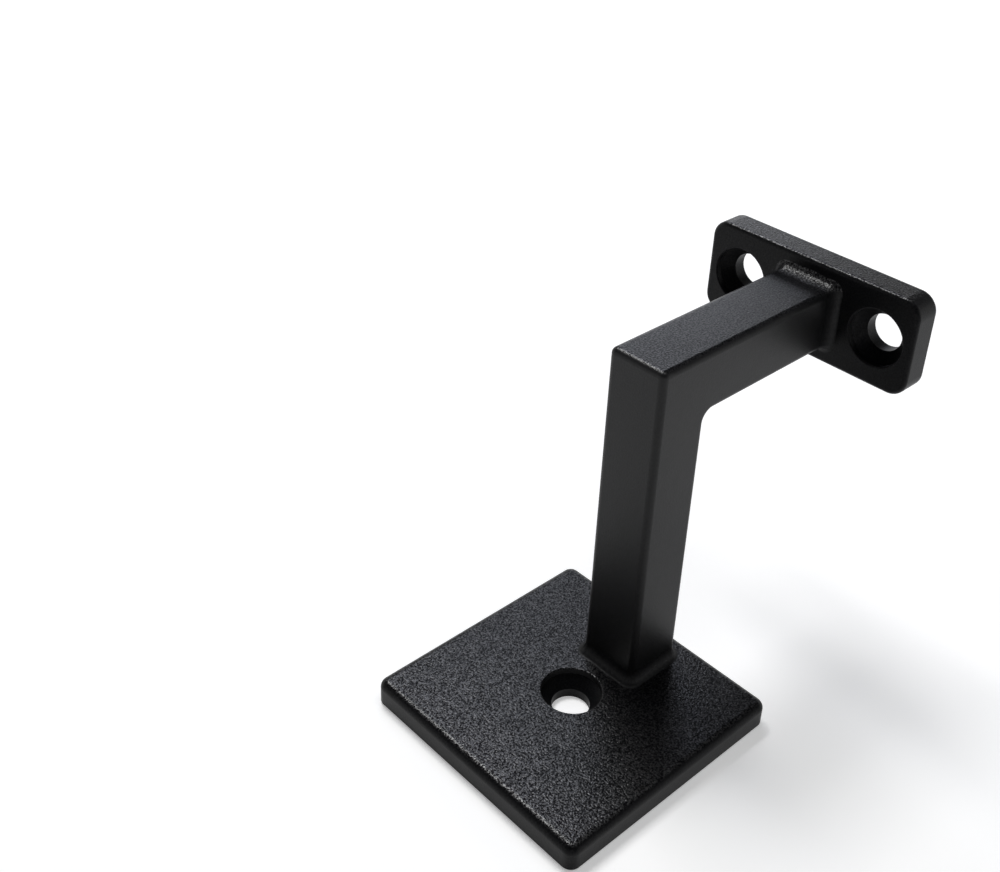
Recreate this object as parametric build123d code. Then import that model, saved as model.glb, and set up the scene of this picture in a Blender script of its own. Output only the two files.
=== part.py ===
from build123d import *
import os
from math import sqrt

# A welded steel handrail bracket. The wall plate lies in the XY plane with its back at z = 0
# and its centre at the origin. The standoff bar rises along +Z, the riser bar turns towards +X
# and carries the rail plate, whose outer face takes the handrail. Sizes are in millimetres.

# Wall plate
PLATE_SIDE = 50.0
PLATE_THICK = 5.0
PLATE_CORNER = 2.0
PLATE_EDGE = 1.5
PLATE_BACK_EDGE = 0.4

# Square bar, and where its centre lines run
BAR = 12.0
BAR_EDGE = 1.2
STANDOFF = 65.0
RISE = 55.0

# Rail plate
RAIL_LENGTH = 45.0
RAIL_WIDTH = 19.0
RAIL_THICK = 6.0
RAIL_CORNER = 3.5
RAIL_EDGE = 0.8
RAIL_HOLE_INSET = 7.5

# Countersunk screw holes, their heads sunk below the face
BORE_RADIUS = 3.5
HEAD_RADIUS = 5.5
HEAD_RECESS = 1.2
MOUTH_ROUND = 0.25
EXIT_ROUND = 0.5

# Welds: how far a bead spreads over a plate and runs along the bar, and the flat strip
# left between the bead's toe and the wall plate's rounded edge
BEAD_SPREAD = 1.5
BEAD_RUN = 2.8
BEAD_MARGIN = 1.0
MITRE_BEVEL = 1.5
INSIDE_BEAD = 2.0

# How far a cutting solid runs past what it cuts
PAST = 1.0

# Places that follow from the sizes above
HALF_BAR = BAR / 2
BAR_OUTER_X = PLATE_SIDE / 2 - PLATE_EDGE - BEAD_MARGIN - BEAD_SPREAD
BAR_INNER_X = BAR_OUTER_X - BAR
BAR_CENTRE_X = BAR_OUTER_X - HALF_BAR
ARM_TOP = STANDOFF + HALF_BAR
ARM_UNDERSIDE = STANDOFF - HALF_BAR
RAIL_HOLE_Y = RAIL_LENGTH / 2 - RAIL_HOLE_INSET
MITRE_LENGTH = BAR * sqrt(2)

# The mitre: its origin is the bracket's outer corner, its x runs to the inside corner
# and its z points towards the riser bar
MITRE = Plane(origin=(BAR_INNER_X, 0, ARM_TOP), x_dir=(1, 0, -1), z_dir=(1, 0, 1))


def rounded_plate(length, width, thick, corner):
    """Flat plate with its back on the XY plane and its four corners rounded."""
    return extrude(RectangleRounded(length, width, corner), thick)


def screw_hole(thick):
    """Cutting solid of a hole with a 90 degree countersink, its mouth at z = thick."""
    cone = HEAD_RADIUS - BORE_RADIUS
    seat = thick - HEAD_RECESS
    section = Polyline(
        (0, -PAST),
        (BORE_RADIUS, -PAST),
        (BORE_RADIUS, seat - cone),
        (HEAD_RADIUS, seat),
        (HEAD_RADIUS, thick + PAST),
        (0, thick + PAST),
        close=True,
    )
    return revolve(Plane.XZ * make_face(section), Axis.Z)


def round_rims(plate, side, radius):
    """Rounds the rim of each hole in the plate's face on that side: 0 is its back, -1 its front."""
    face = plate.faces().sort_by(Axis.Z)[side]
    rims = [e for e in face.edges() if e.geom_type == GeomType.CIRCLE and e.is_closed]
    return fillet(rims, radius)


def wall_plate():
    """Square plate with a screw hole at its centre."""
    plate = rounded_plate(PLATE_SIDE, PLATE_SIDE, PLATE_THICK, PLATE_CORNER)
    plate = fillet(plate.faces().sort_by(Axis.Z)[-1].edges(), PLATE_EDGE)
    plate = fillet(plate.faces().sort_by(Axis.Z)[0].edges(), PLATE_BACK_EDGE)
    plate -= screw_hole(PLATE_THICK)
    return round_rims(plate, -1, MOUTH_ROUND)


def rail_plate():
    """Oblong plate with a screw hole each side of the bar, opening towards the bar."""
    plate = rounded_plate(RAIL_WIDTH, RAIL_LENGTH, RAIL_THICK, RAIL_CORNER)
    plate = fillet(plate.faces().sort_by(Axis.Z)[-1].edges(), RAIL_EDGE)
    plate = fillet(plate.faces().sort_by(Axis.Z)[0].edges(), RAIL_EDGE)
    for side in (-1, 1):
        plate -= Pos(0, side * RAIL_HOLE_Y, 0) * screw_hole(RAIL_THICK)
    plate = round_rims(plate, -1, MOUTH_ROUND)
    plate = round_rims(plate, 0, EXIT_ROUND)
    rail_face = Plane(origin=(RISE + RAIL_THICK, 0, STANDOFF), x_dir=(0, 0, 1), z_dir=(-1, 0, 0))
    return rail_face * plate


def whole_bar():
    """Both bars and their corner weld in one: a square section bent sharply at a right angle."""
    outline = Polyline(
        (BAR_INNER_X, PLATE_THICK),
        (BAR_INNER_X, ARM_TOP),
        (RISE, ARM_TOP),
        (RISE, ARM_UNDERSIDE),
        (BAR_OUTER_X, ARM_UNDERSIDE),
        (BAR_OUTER_X, PLATE_THICK),
        close=True,
    )
    face = make_face(outline)
    inside = face.vertices().sort_by_distance((BAR_OUTER_X, ARM_UNDERSIDE, 0))[0]
    face = fillet(inside, INSIDE_BEAD)
    bar = extrude(Plane.XZ * face, HALF_BAR, both=True)
    foot = bar.faces().sort_by(Axis.Z)[0]
    end = bar.faces().sort_by(Axis.X)[-1]
    kept_sharp = foot.edges() + end.edges()
    bead = bar.faces().filter_by(GeomType.CYLINDER)[0]
    across = bead.edges().filter_by(Axis.Y)
    rounded = [e for e in bar.edges() if e not in kept_sharp and e not in across]
    return fillet(rounded, BAR_EDGE)


def corner_room():
    """The space that the corner weld fills: the mitre's bevels and the inside corner."""
    width = BAR + 2 * PAST
    slab = Box(
        MITRE_LENGTH + MITRE_BEVEL + PAST,
        width,
        2 * MITRE_BEVEL,
        align=(Align.MIN, Align.CENTER, Align.CENTER),
    )
    slab = Pos(-PAST, 0, 0) * slab
    root_length = MITRE_LENGTH - MITRE_BEVEL
    root = Rectangle(root_length, BAR - 2 * MITRE_BEVEL, align=(Align.MIN, Align.CENTER))
    section = Rectangle(MITRE_LENGTH + PAST, width, align=(Align.MIN, Align.CENTER))
    for side in (-1, 1):
        land = loft(
            [
                Pos(MITRE_BEVEL, 0, 0) * root,
                Pos(-PAST, 0, side * (MITRE_BEVEL + PAST)) * section,
            ],
            ruled=True,
        )
        slab -= land
    bead = Pos(BAR_OUTER_X, 0, ARM_UNDERSIDE) * Box(
        INSIDE_BEAD,
        width,
        INSIDE_BEAD,
        align=(Align.MIN, Align.CENTER, Align.MAX),
    )
    return MITRE * slab + bead


def bar_pieces():
    """Standoff bar, riser bar and corner weld, cut from the whole bar so that they meet face to face."""
    bar = whole_bar()
    room = corner_room()
    weld = bar & room
    steel = bar - room
    standoff = split(steel, bisect_by=MITRE, keep=Keep.BOTTOM)
    riser = split(steel, bisect_by=MITRE, keep=Keep.TOP)
    return standoff, riser, weld


def fillet_weld():
    """Bead all round a bar that stands on the XY plane, its throat facing outwards."""
    toe_side = BAR + 2 * BEAD_SPREAD
    toe = RectangleRounded(toe_side, toe_side, BAR_EDGE + BEAD_SPREAD)
    top = RectangleRounded(BAR, BAR, BAR_EDGE)
    bead = loft([toe, Pos(0, 0, BEAD_RUN) * top], ruled=True)
    return bead - extrude(top, BEAD_RUN)


def wall_plate_weld():
    """Bead round the foot of the standoff bar."""
    return Pos(BAR_CENTRE_X, 0, PLATE_THICK) * fillet_weld()


def rail_plate_weld():
    """Bead round the end of the riser bar."""
    seat = Plane(origin=(RISE, 0, STANDOFF), x_dir=(0, 0, 1), z_dir=(-1, 0, 0))
    return seat * fillet_weld()


def main():
    """Writes one STEP file for each piece."""
    os.makedirs("parts", exist_ok=True)
    standoff, riser, corner = bar_pieces()
    pieces = {
        "wall_plate": wall_plate(),
        "standoff_bar": standoff,
        "riser_bar": riser,
        "rail_plate": rail_plate(),
        "wall_plate_weld": wall_plate_weld(),
        "rail_plate_weld": rail_plate_weld(),
        "corner_weld": corner,
    }
    for name, piece in pieces.items():
        export_step(piece, f"parts/{name}.step")
        print(name, "volume", round(piece.volume, 1), "valid", piece.is_valid)


main()
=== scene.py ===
"""Looks of a welded square-bar handrail bracket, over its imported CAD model.

The scene is in metres, in the CAD's frame: the wall plate lies on the floor plane z = 0, the
standoff bar rises along +Z, and the riser bar runs along +X to the rail plate. Sizes of the
bracket and its coat are named in millimetres, and those of the studio in metres. The two weld
beads are new meshes in place of the CAD's straight-sided ones. All other shapes are the CAD's
own and only get their finish here.
"""

import logging
import math
from dataclasses import dataclass, field
from enum import Enum
from typing import Any

import bpy
import numpy as np
from mathutils import Matrix, Quaternion, Vector


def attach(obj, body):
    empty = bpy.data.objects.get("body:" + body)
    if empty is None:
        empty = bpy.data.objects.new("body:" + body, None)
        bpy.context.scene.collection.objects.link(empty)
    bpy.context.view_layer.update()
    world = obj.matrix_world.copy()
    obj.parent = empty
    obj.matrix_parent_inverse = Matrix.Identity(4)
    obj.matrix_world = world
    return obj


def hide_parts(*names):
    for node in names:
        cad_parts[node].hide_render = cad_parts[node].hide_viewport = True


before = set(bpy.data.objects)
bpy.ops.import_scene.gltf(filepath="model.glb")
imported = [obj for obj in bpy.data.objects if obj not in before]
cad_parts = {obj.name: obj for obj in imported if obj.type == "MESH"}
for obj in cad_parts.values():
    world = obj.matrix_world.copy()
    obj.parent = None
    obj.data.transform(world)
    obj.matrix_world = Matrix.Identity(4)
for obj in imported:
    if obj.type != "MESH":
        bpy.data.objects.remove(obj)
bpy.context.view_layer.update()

log = logging.getLogger("bracket")

MM = 0.001

# Sizes of the CAD in mm that the looks follow
BAR = 12.0
BAR_EDGE = 1.2
BAR_CENTRE_X = 15.0
PLATE_THICK = 5.0
STANDOFF = 65.0
RISE = 55.0
RAIL_WIDTH = 19.0

# Angle in degrees from which an edge of a new mesh is sharp
SHARP_FROM = 50.0

# Heights in mm of the faces that look up: the bar's and the rail plate's
BAR_TOP = STANDOFF + BAR / 2
RAIL_TOP = STANDOFF + RAIL_WIDTH / 2


def linear(colour: str) -> tuple[float, float, float, float]:
    """Turns an sRGB colour into a linear one.

    Args:
        colour: Hex colour such as "#1a1b1d".

    Returns:
        Linear red, green and blue, and an alpha of 1.
    """
    channels = [int(colour[i : i + 2], 16) / 255 for i in (1, 3, 5)]
    red, green, blue = (
        c / 12.92 if c <= 0.04045 else ((c + 0.055) / 1.055) ** 2.4 for c in channels
    )
    return red, green, blue, 1.0


def add_node(
    tree: bpy.types.NodeTree, kind: str, inputs: dict[str | int, Any] | None = None, **settings: Any
) -> bpy.types.Node:
    """Adds one shader node.

    Args:
        tree: The node tree that the node goes into.
        kind: Blender's name of the node's type.
        inputs: Values by socket name or index. An output socket of another node is linked, and
            anything else is set as the socket's own value.
        **settings: Properties of the node itself.

    Returns:
        The new node.
    """
    node = tree.nodes.new(kind)
    for name, value in settings.items():
        setattr(node, name, value)
    for name, value in (inputs or {}).items():
        if isinstance(value, bpy.types.NodeSocket):
            tree.links.new(value, node.inputs[name])
        else:
            node.inputs[name].default_value = value
    return node


def direction(heading: float, elevation: float) -> Vector:
    """Works out a direction in the frame.

    Args:
        heading: Angle in degrees from +X towards +Y.
        elevation: Angle in degrees above the floor.

    Returns:
        Unit vector that points that way.
    """
    turn, rise = math.radians(heading), math.radians(elevation)
    level = math.cos(rise)
    return Vector((math.cos(turn) * level, math.sin(turn) * level, math.sin(rise)))


def empty_material(name: str) -> tuple[bpy.types.Material, bpy.types.NodeTree]:
    """Makes a material with no nodes.

    Args:
        name: Name of the material.

    Returns:
        The new material and its node tree.
    """
    material = bpy.data.materials.new(name)
    material.use_nodes = True
    material.node_tree.nodes.clear()
    return material, material.node_tree


@dataclass(frozen=True)
class PowderCoat:
    """Black polyester powder coat with a fine texture, sprayed on blasted steel and baked.

    It gives the eye a deep black of low gloss. The melted powder draws up into a fine pebble,
    which glitters where it mirrors a lamp and goes unseen where it mirrors something dark. The
    real one is about 0.2 mm across, too fine to show, so it is drawn 0.32 mm across. Its mirror
    is partly painted: glints on the crowns and shade in the pits, and a lower mirror share as
    painted shade on faces that should look darker.

    Attributes:
        name: Name of the material.
        top: Height in mm of the face that lay upwards in the oven, where the powder pebbles most.
            Near it the painted glints and pit shade are strongest, and away from it the mirror
            share drops as painted shade.
        fade: Depths in mm below that face at which the coat is plain, and still fully pebbled.
        colour: sRGB hex colour of the coat.
        blotch: Share by which the colour wanders.
        roughness: Roughness of the pebbled face, and of the plain ones.
        ior: Index of refraction of the polyester.
        gloss: Blender's specular level. It is below the plain polyester's 0.5, because the
            finest texture traps light.
        relief: Height of the pebble in mm on the pebbled face, and on the plain ones.
        shade: How much more the pebbles' crowns mirror, as painted glints, and their pits less, as
            painted shade, likewise.
        sheen_and_painted_shade: How much the coat mirrors at right angles, as a share of the full
            coat, likewise. A share below 1 is painted shade, for faces that should look darker
            under these lamps.
        pebble_width: Width of one pebble in mm.
        wave: Height in mm of the slow unevenness that spraying leaves.
        wave_width: Width of one such wave in mm.
        blotch_width: Width of one blotch in mm.
    """

    name: str
    top: float
    fade: tuple[float, float] = (0.3, 0.03)
    colour: str = "#0a0a0c"
    blotch: float = 0.2
    roughness: tuple[float, float] = (0.28, 0.45)
    ior: float = 1.5
    gloss: float = 0.3
    relief: tuple[float, float] = (0.07, 0.02)
    shade: tuple[float, float] = (2.3, 0.2)
    sheen_and_painted_shade: tuple[float, float] = (1.0, 1.0)
    pebble_width: float = 0.32
    wave: float = 0.03
    wave_width: float = 6.0
    blotch_width: float = 14.0

    def material(self) -> bpy.types.Material:
        """Builds the material.

        Returns:
            The new material.
        """
        material, tree = empty_material(self.name)
        place = add_node(tree, "ShaderNodeTexCoord").outputs["Object"]
        # Width in mm of each pattern, and the detail and roughness of its noise
        patterns = (
            (self.pebble_width, 1.0, 0.5),
            (self.wave_width, 2.0, 0.5),
            (self.blotch_width, 3.0, 0.6),
        )
        pebble, wave, blotch = (
            add_node(
                tree,
                "ShaderNodeTexNoise",
                {"Vector": place, "Scale": 1 / (width * MM), "Detail": detail, "Roughness": octave},
            ).outputs["Fac"]
            for width, detail, octave in patterns
        )
        plain_below, pebbled_above = self.fade
        # Mask from the plain faces up to the top face; it blends the pebble and also the painted
        # glints, pit shade and lowered mirror share
        lay_up_and_painted_shade = add_node(
            tree,
            "ShaderNodeMapRange",
            {
                "Value": add_node(tree, "ShaderNodeSeparateXYZ", {"Vector": place}).outputs["Z"],
                "From Min": (self.top - plain_below) * MM,
                "From Max": (self.top - pebbled_above) * MM,
            },
        ).outputs["Result"]
        high, low = self.relief
        strength, roughness, glint_and_pit_shade, level = (
            add_node(
                tree, "ShaderNodeMapRange", {"Value": lay_up_and_painted_shade, "To Min": plain, "To Max": pebbled}
            ).outputs["Result"]
            for pebbled, plain in ((1.0, low / high), self.roughness, self.shade, self.sheen_and_painted_shade)
        )
        slow = add_node(
            tree,
            "ShaderNodeBump",
            {"Strength": 1.0, "Distance": self.wave * MM, "Height": wave},
        )
        fine = add_node(
            tree,
            "ShaderNodeBump",
            {
                "Strength": strength,
                "Distance": high * MM,
                "Height": pebble,
                "Normal": slow.outputs["Normal"],
            },
        )
        # The noise keeps mostly between 0.2 and 0.8, so that span runs from pit to crown
        crown = add_node(
            tree,
            "ShaderNodeMapRange",
            {"Value": pebble, "From Min": 0.2, "From Max": 0.8, "To Min": -1.0, "To Max": 1.0},
        ).outputs["Result"]
        # The Specular Tint paints the mirror: crowns brighter as painted glints, pits darker as
        # painted shade, on a level that is lowered as painted shade away from the top face
        mirror = add_node(
            tree, "ShaderNodeMath", {0: crown, 1: glint_and_pit_shade, 2: level}, operation="MULTIPLY_ADD"
        )
        # Sockets 6 and 7 of this node are the two colours that it mixes
        base = Vector(linear(self.colour)[:3])
        tint = add_node(
            tree,
            "ShaderNodeMix",
            {
                "Factor": blotch,
                6: (*(base * (1 - self.blotch)), 1.0),
                7: (*(base * (1 + self.blotch)), 1.0),
            },
            data_type="RGBA",
        )
        shader = add_node(
            tree,
            "ShaderNodeBsdfPrincipled",
            {
                "Base Color": tint.outputs[2],
                "Roughness": roughness,
                "IOR": self.ior,
                "Specular IOR Level": self.gloss,
                "Specular Tint": mirror.outputs["Value"],
                "Normal": fine.outputs["Normal"],
            },
        )
        add_node(tree, "ShaderNodeOutputMaterial", {"Surface": shader.outputs["BSDF"]})
        return material


@dataclass(frozen=True)
class StudioCard:
    """Matt white card under the bracket, of sprayed board.

    It gives the eye a pale, even white that is almost without gloss.

    Attributes:
        name: Name of the material.
        colour: sRGB hex colour of the card.
        cloud: Share by which the paint darkens in faint clouds.
        cloud_width: Width of one cloud in mm.
        roughness: Roughness of the paint.
        gloss: Blender's specular level, low for matt paint.
        lift: Glow that brings the lit card to white for the camera and in mirrored views, near
            the bracket and far from the lamps.
        reach: Distances in metres from the bracket at which those two apply.
    """

    name: str
    colour: str = "#f7f7f7"
    cloud: float = 0.015
    cloud_width: float = 333.0
    roughness: float = 0.9
    gloss: float = 0.1
    lift: tuple[float, float] = (0.35, 0.95)
    reach: tuple[float, float] = (0.3, 1.8)

    def material(self) -> bpy.types.Material:
        """Builds the material.

        Returns:
            The new material.
        """
        material, tree = empty_material(self.name)
        place = add_node(tree, "ShaderNodeTexCoord").outputs["Object"]
        cloud = add_node(
            tree,
            "ShaderNodeTexNoise",
            {"Vector": place, "Scale": 1 / (self.cloud_width * MM), "Detail": 2.0},
        )
        base = Vector(linear(self.colour)[:3])
        tint = add_node(
            tree,
            "ShaderNodeMix",
            {
                "Factor": cloud.outputs["Fac"],
                6: (*(base * (1 - self.cloud)), 1.0),
                7: (*base, 1.0),
            },
            data_type="RGBA",
        )
        shader = add_node(
            tree,
            "ShaderNodeBsdfPrincipled",
            {
                "Base Color": tint.outputs[2],
                "Roughness": self.roughness,
                "Specular IOR Level": self.gloss,
            },
        )
        ray = add_node(tree, "ShaderNodeLightPath").outputs
        seen = ray["Is Camera Ray"]
        for kind in ("Is Glossy Ray", "Is Transmission Ray"):
            seen = add_node(
                tree, "ShaderNodeMath", {0: seen, 1: ray[kind]}, operation="MAXIMUM"
            ).outputs["Value"]
        away = add_node(tree, "ShaderNodeVectorMath", {0: place}, operation="LENGTH")
        lift = add_node(
            tree,
            "ShaderNodeMapRange",
            {
                "Value": away.outputs["Value"],
                "From Min": self.reach[0],
                "From Max": self.reach[1],
                "To Min": self.lift[0],
                "To Max": self.lift[1],
            },
        )
        strength = add_node(
            tree, "ShaderNodeMath", {0: seen, 1: lift.outputs["Result"]}, operation="MULTIPLY"
        )
        glow = add_node(
            tree,
            "ShaderNodeEmission",
            {"Color": linear("#ffffff"), "Strength": strength.outputs["Value"]},
        )
        both = add_node(
            tree, "ShaderNodeAddShader", {0: shader.outputs["BSDF"], 1: glow.outputs["Emission"]}
        )
        add_node(tree, "ShaderNodeOutputMaterial", {"Surface": both.outputs["Shader"]})
        return material


class Seat(Enum):
    """Where a weld bead sits.

    Each seat has the centre of the bar's end in mm, and the directions in the frame of the
    bead's own x, y and z. The bead's z runs from the plate along the bar.
    """

    BAR_FOOT = ((BAR_CENTRE_X, 0.0, PLATE_THICK), ((1, 0, 0), (0, 1, 0), (0, 0, 1)))
    BAR_END = ((RISE, 0.0, STANDOFF), ((0, 0, 1), (0, 1, 0), (-1, 0, 0)))

    def place(self, points: np.ndarray) -> np.ndarray:
        """Carries points in mm from the bead's own axes into the frame, in metres."""
        origin, axes = self.value
        return (points @ np.array(axes, float) + np.array(origin)) * MM


@dataclass
class WeldBead:
    """Hollow fillet bead all round a square bar, with faint ripples under the coat.

    Attributes:
        name: Name of the new piece.
        node: CAD node that it stands for.
        seat: Where it sits.
        finish: Material that it takes.
        seed: Seed of its lumps.
        spread: How far it spreads over the plate in mm.
        run: How far it runs along the bar in mm.
        unevenness: Shares by which its lumps shorten the spread and the run.
        spread_waves: Fewest waves round the bar in the spread's lumps, and one past the most.
        run_waves: The same for the run's lumps.
        sink: How far its hidden sides reach into the steel in mm.
        ripple: Height of the ripples in mm.
        ripple_pitch: Distance from one ripple to the next in mm.
        ripple_lean: How far a ripple runs ahead at mid-section, as a share of its pitch.
        ripple_push: Share of its height by which a ripple goes outwards, and again upwards.
        ripple_power: Power that broadens each ripple's crest.
        side_points: Points along one straight side of the bar.
        corner_points: Points round one of its corners.
        section_points: Points across the seen side of the section.
    """

    name: str
    node: str
    seat: Seat
    finish: bpy.types.Material
    seed: int
    spread: float = 1.5
    run: float = 2.8
    unevenness: tuple[float, float] = (0.16, 0.14)
    spread_waves: tuple[int, int] = (2, 11)
    run_waves: tuple[int, int] = (3, 13)
    sink: float = 0.15
    ripple: float = 0.04
    ripple_pitch: float = 1.3
    ripple_lean: float = 0.45
    ripple_push: float = 0.6
    ripple_power: float = 0.7
    side_points: int = 72
    corner_points: int = 20
    section_points: int = 22

    def path(self) -> tuple[np.ndarray, np.ndarray]:
        """Works out the bar's outline.

        One side is a straight run and a quarter circle. The other three are that side turned
        by 90, 180 and 270 degrees.

        Returns:
            Points once round the outline in mm, and the outward direction at each.
        """
        core = BAR / 2 - BAR_EDGE
        rise = np.linspace(-core, core, self.side_points, endpoint=False)
        turn = np.linspace(0, math.pi / 2, self.corner_points, endpoint=False)
        flat = np.stack([np.full_like(rise, BAR / 2), rise], 1)
        arc_way = np.stack([np.cos(turn), np.sin(turn)], 1)
        side = np.concatenate([flat, core + BAR_EDGE * arc_way])
        way = np.concatenate([np.tile([1.0, 0.0], (len(rise), 1)), arc_way])
        turns = [
            np.array([[math.cos(a), math.sin(a)], [-math.sin(a), math.cos(a)]])
            for a in np.arange(4) * math.pi / 2
        ]
        return np.concatenate([side @ t for t in turns]), np.concatenate([way @ t for t in turns])

    def lumps(self, along: np.ndarray, least: int, most: int) -> np.ndarray:
        """Works out a slow unevenness: a sum of seeded sine waves that close round the bar.

        Args:
            along: Share of the way round the bar, from 0 to 1, at each point.
            least: Waves in one round of the longest sine.
            most: One more than the waves in one round of the shortest sine.

        Returns:
            Unevenness from 0 to 1 at each point.
        """
        random = np.random.default_rng(self.seed + least)
        waves = np.arange(least, most)
        phase = random.uniform(0, 2 * math.pi, len(waves))
        total = np.sin(2 * math.pi * along[:, None] * waves + phase).sum(1)
        return (total - total.min()) / np.ptp(total)

    def grid(self) -> np.ndarray:
        """Works out the surface of the bead.

        The seen side of the section is a quarter ellipse that is hollow towards the corner: at
        angle a it lies spread * (1 - sin a) from the bar and run * (1 - cos a) from the plate.
        Ripples lean with the angle and fade out at both toes. The hidden side goes on from the
        upper toe into the bar, down behind the corner and out under the plate's face.

        Returns:
            Points in mm in the bead's own axes, once round the bar by once round the section.
        """
        start, way = self.path()
        step = np.linalg.norm(np.roll(start + way, -1, 0) - start - way, axis=1)
        along = np.concatenate([[0], np.cumsum(step)[:-1]]) / step.sum()
        less_spread, less_run = self.unevenness
        spread = self.spread * (1 - less_spread * self.lumps(along, *self.spread_waves))[:, None]
        run = self.run * (1 - less_run * self.lumps(along, *self.run_waves))[:, None]
        t = np.linspace(0, 1, self.section_points)[None, :]
        count = round(step.sum() / self.ripple_pitch)
        beat = 2 * math.pi * (count * along[:, None] + self.ripple_lean * np.sin(math.pi * t))
        crest = (0.5 + 0.5 * np.cos(beat)) ** self.ripple_power
        lift = self.ripple_push * self.ripple * np.sin(math.pi * t) * crest
        out = spread * (1 - np.sin(t * math.pi / 2)) + lift
        up = run * (1 - np.cos(t * math.pi / 2)) + lift
        top, toe = up[:, -1:], out[:, :1]
        hidden_out = np.concatenate([0 * top - self.sink, 0 * top - self.sink, toe], 1)
        hidden_up = np.concatenate([top, 0 * top - self.sink, 0 * top - self.sink], 1)
        out = np.concatenate([out, hidden_out], 1)[..., None]
        up = np.concatenate([up, hidden_up], 1)[..., None]
        flat = start[:, None, :] + out * way[:, None, :]
        return np.concatenate([flat, up], 2)

    def build(self) -> bpy.types.Object:
        """Makes the piece, gives it its body and slot, and hides the CAD node that it stands for.

        Returns:
            The new piece.
        """
        piece = closed_surface(self.name, self.seat.place(self.grid()))
        piece.data.materials.append(self.finish)
        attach(piece, "root")
        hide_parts(self.node)
        return piece


def closed_surface(name: str, grid: np.ndarray) -> bpy.types.Object:
    """Makes a mesh of a grid that closes on itself both ways, its faces outward.

    Args:
        name: Name of the object.
        grid: Points in metres, shaped (around, across, 3).

    Returns:
        The new object, linked to the scene.
    """
    around, across = grid.shape[:2]
    index = np.arange(around * across).reshape(around, across)
    ahead = np.roll(index, -1, 0)
    quads = np.stack([index, ahead, np.roll(ahead, -1, 1), np.roll(index, -1, 1)], -1)
    quads = quads.reshape(-1, 4)
    points = grid.reshape(-1, 3)
    a, b, c, d = (points[quads[:, i]] for i in range(4))
    volume = (np.cross(b, c) * a).sum() + (np.cross(c, d) * a).sum()
    if volume < 0:
        quads = quads[:, ::-1]
    mesh = bpy.data.meshes.new(name)
    mesh.from_pydata(points.tolist(), [], quads.tolist())
    mesh.polygons.foreach_set("use_smooth", np.ones(len(quads), bool))
    mesh.set_sharp_from_angle(angle=math.radians(SHARP_FROM))
    piece = bpy.data.objects.new(name, mesh)
    bpy.context.scene.collection.objects.link(piece)
    return piece


@dataclass
class CoatedSteel:
    """The plates and bars, whose CAD shapes are right and only take their coat.

    Attributes:
        finishes: Material of each CAD node, by node name.
    """

    finishes: dict[str, bpy.types.Material]

    def dress(self) -> list[bpy.types.Object]:
        """Puts each node's material on its slots.

        Returns:
            The nodes.
        """
        dressed = []
        for node, material in self.finishes.items():
            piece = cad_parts[node]
            for slot in piece.material_slots:
                slot.material = material
            dressed.append(piece)
        return dressed


@dataclass(frozen=True)
class SoftBox:
    """A lamp behind a diffusing cloth.

    Attributes:
        name: Name of the lamp.
        heading: Direction in degrees from +X towards +Y in which it stands.
        elevation: Its angle above the floor in degrees.
        distance: Distance from the bracket in metres.
        size: Width and height in metres.
        brightness: Radiance of its cloth, where 1 is the white of the picture.
        colour: sRGB hex colour of its light.
        lean: Degrees by which its top leans to the right, seen from the bracket.
    """

    name: str
    heading: float
    elevation: float
    distance: float
    size: tuple[float, float]
    brightness: float
    colour: str = "#ffffff"
    lean: float = 0.0

    def build(self, target: Vector) -> None:
        """Makes the lamp.

        Args:
            target: Point in metres that it faces.
        """
        lamp = bpy.data.lights.new(self.name, "AREA")
        lamp.shape = "RECTANGLE"
        lamp.size, lamp.size_y = self.size
        lamp.energy = self.brightness * math.pi * self.size[0] * self.size[1]
        lamp.color = linear(self.colour)[:3]
        way = direction(self.heading, self.elevation)
        box = bpy.data.objects.new(self.name, lamp)
        box.location = target + way * self.distance
        box.rotation_mode = "QUATERNION"
        lean = Quaternion((0.0, 0.0, 1.0), math.radians(self.lean))
        box.rotation_quaternion = way.to_track_quat("Z", "Y") @ lean
        box.visible_camera = False
        bpy.context.scene.collection.objects.link(box)


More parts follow.
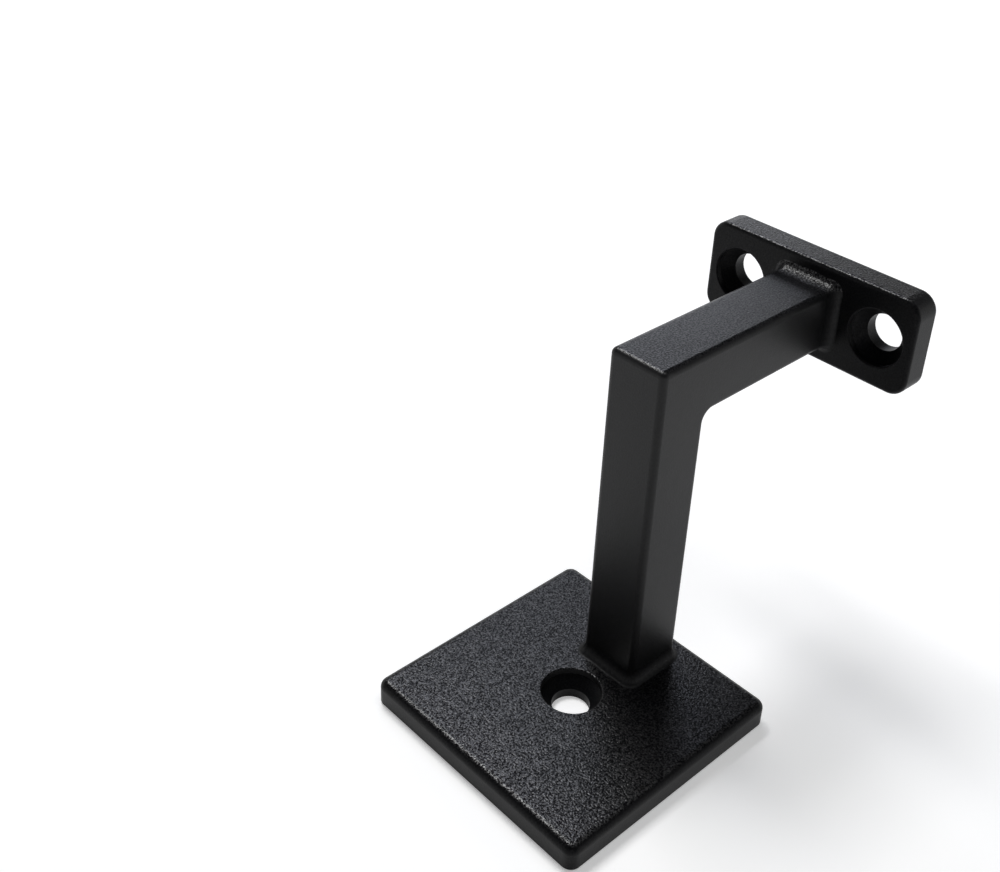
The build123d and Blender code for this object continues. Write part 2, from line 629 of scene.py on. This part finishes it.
@dataclass
class Studio:
    """White card that curves up all round, soft boxes and a dim room.

    Attributes:
        lamps: The soft boxes.
        card: Material of the card.
        middle: Radius in metres of the one face at the card's middle.
        flat: Radius in metres of the card's flat part.
        bend: Radius in metres of its upward curve.
        height: Height in metres of its rim.
        steps: Points round the card.
        bend_points: Points up the curve.
        room: Brightness of the room.
        room_colour: sRGB hex colour of the room's light.
        target: Point in metres that the soft boxes face.
    """

    lamps: list[SoftBox]
    card: bpy.types.Material
    middle: float = 0.4
    flat: float = 1.9
    bend: float = 0.5
    height: float = 0.95
    steps: int = 96
    bend_points: int = 13
    room: float = 0.05
    room_colour: str = "#f3f9ff"
    target: Vector = field(default_factory=lambda: Vector((0.015, 0.0, 0.03)))

    def bowl(self) -> tuple[np.ndarray, np.ndarray]:
        """Works out the card: a profile turned about the z axis.

        The profile runs flat, then round a quarter circle, then straight up.

        Returns:
            Points in metres, ring by ring from the middle, and the quads between the rings.
        """
        turn = np.linspace(0, math.pi / 2, self.bend_points)
        curve = self.flat + self.bend * np.sin(turn)
        out = np.concatenate([[self.middle], curve, [self.flat + self.bend]])[:, None]
        up = np.concatenate([[0.0], self.bend * (1 - np.cos(turn)), [self.height]])[:, None]
        angle = np.linspace(0, 2 * math.pi, self.steps, endpoint=False)
        rings = np.stack([out * np.cos(angle), out * np.sin(angle), up + 0 * angle], -1)
        index = np.arange(out.size * angle.size).reshape(out.size, angle.size)
        near, far = index[:-1], index[1:]
        quads = np.stack([near, far, np.roll(far, -1, 1), np.roll(near, -1, 1)], -1)
        return rings.reshape(-1, 3), quads.reshape(-1, 4)

    def build(self) -> None:
        """Makes the card, the lamps and the world."""
        points, quads = self.bowl()
        mesh = bpy.data.meshes.new("studio_card")
        mesh.from_pydata(points.tolist(), [], [list(range(self.steps)), *quads.tolist()])
        mesh.polygons.foreach_set("use_smooth", np.ones(len(mesh.polygons), bool))
        mesh.materials.append(self.card)
        card = bpy.data.objects.new("studio_card", mesh)
        bpy.context.scene.collection.objects.link(card)
        world = bpy.data.worlds.new("room")
        world.use_nodes = True
        world.node_tree.nodes.clear()
        glow = add_node(
            world.node_tree,
            "ShaderNodeBackground",
            {"Color": linear(self.room_colour), "Strength": self.room},
        )
        add_node(world.node_tree, "ShaderNodeOutputWorld", {"Surface": glow.outputs["Background"]})
        bpy.context.scene.world = world
        for lamp in self.lamps:
            lamp.build(self.target)


@dataclass(frozen=True)
class PhotoCamera:
    """The photograph's camera, solved from the bracket's straight edges.

    Attributes:
        position: Place in the frame, in mm.
        heading: Direction of view in degrees from +X towards +Y.
        pitch: Degrees that it looks down.
        roll: Degrees that it is turned about its line of view.
        focal: Focal length in pixels.
        centre: Pixel where the line of view meets the picture.
        size: Width and height of the picture in pixels.
        clip: Nearest and farthest distance in metres that it sees.
    """

    position: tuple[float, float, float] = (-131.73, -116.33, 179.88)
    heading: float = 46.352
    pitch: float = 30.27
    roll: float = 2.25
    focal: float = 1328.0
    centre: tuple[float, float] = (502.0, 339.0)
    size: tuple[int, int] = (1000, 872)
    clip: tuple[float, float] = (0.01, 20.0)

    def build(self) -> None:
        """Makes the camera and makes it the scene's."""
        width, height = self.size
        lens = bpy.data.cameras.new("photo_camera")
        lens.lens = self.focal / width * lens.sensor_width
        lens.shift_x = (width / 2 - self.centre[0]) / width
        lens.shift_y = (self.centre[1] - height / 2) / width
        lens.clip_start, lens.clip_end = self.clip
        ahead = direction(self.heading, -self.pitch)
        level = direction(self.heading - 90, 0)
        upright = level.cross(ahead)
        roll = math.radians(self.roll)
        right = level * math.cos(roll) + upright * math.sin(roll)
        up = upright * math.cos(roll) - level * math.sin(roll)
        camera = bpy.data.objects.new("photo_camera", lens)
        camera.matrix_world = Matrix.Translation(Vector(self.position) * MM) @ Matrix(
            (right, up, -ahead)
        ).transposed().to_4x4()
        bpy.context.scene.collection.objects.link(camera)
        bpy.context.scene.camera = camera


def main() -> None:
    """Builds the bracket's looks, the studio and the camera."""
    logging.basicConfig(level=logging.INFO, format="%(message)s")
    # Mirror shares below 1 are painted shade: the wall plate's sides, bottom and holes and the rail
    # plate's faces below its top strip at 0.3, the beads' faces below the bars' top at 0.65, and
    # the rail plate's and bars' tops and the bars' sides a little lowered. The painted glints and
    # pit shade are set per part as well.
    wall_coat = PowderCoat("powder_coat_wall_plate", top=PLATE_THICK, sheen_and_painted_shade=(1.0, 0.3))
    rail_coat = PowderCoat(
        "powder_coat_rail_plate", top=RAIL_TOP, shade=(2.8, 0.2), sheen_and_painted_shade=(0.85, 0.3)
    )
    bar_coat = PowderCoat(
        "powder_coat_bar", top=BAR_TOP, relief=(0.04, 0.02), shade=(2.0, 0.1), sheen_and_painted_shade=(0.9, 0.95)
    )
    bead_coat = PowderCoat(
        "powder_coat_bead", top=BAR_TOP, roughness=(0.4, 0.5), sheen_and_painted_shade=(1.0, 0.65)
    )
    on_wall_plate, on_rail_plate, on_bar, on_bead = (
        coat.material() for coat in (wall_coat, rail_coat, bar_coat, bead_coat)
    )
    steel = CoatedSteel(
        {
            "wall_plate": on_wall_plate,
            "standoff_bar": on_bar,
            "riser_bar": on_bar,
            "corner_weld": on_bar,
            "rail_plate": on_rail_plate,
        }
    )
    beads = [
        WeldBead("foot_bead", "wall_plate_weld", Seat.BAR_FOOT, on_bead, seed=4),
        WeldBead("rail_bead", "rail_plate_weld", Seat.BAR_END, on_bead, seed=9),
    ]
    pieces = [*steel.dress(), *(bead.build() for bead in beads)]
    for piece in pieces:
        log.info("%s: %d faces", piece.name, len(piece.data.polygons))
    lamps = [
        SoftBox(
            "key", heading=76.0, elevation=63.0, distance=1.0, size=(0.34, 0.34), brightness=16.0
        ),
        SoftBox(
            "fill", heading=-45.0, elevation=75.0, distance=0.8, size=(0.4, 0.4), brightness=2.0
        ),
        SoftBox(
            "back_wall",
            heading=41.0,
            elevation=25.5,
            distance=1.3,
            size=(0.34, 0.23),
            brightness=3.2,
            colour="#eff3ff",
        ),
        SoftBox(
            "window",
            heading=51.0,
            elevation=47.5,
            distance=1.2,
            size=(0.25, 0.38),
            brightness=3.9,
            colour="#e6ecff",
            lean=32.0,
        ),
    ]
    Studio(lamps, StudioCard("white_card").material()).build()
    PhotoCamera().build()
    bpy.context.scene.view_settings.view_transform = "Standard"


if __name__ == "__main__":
    main()
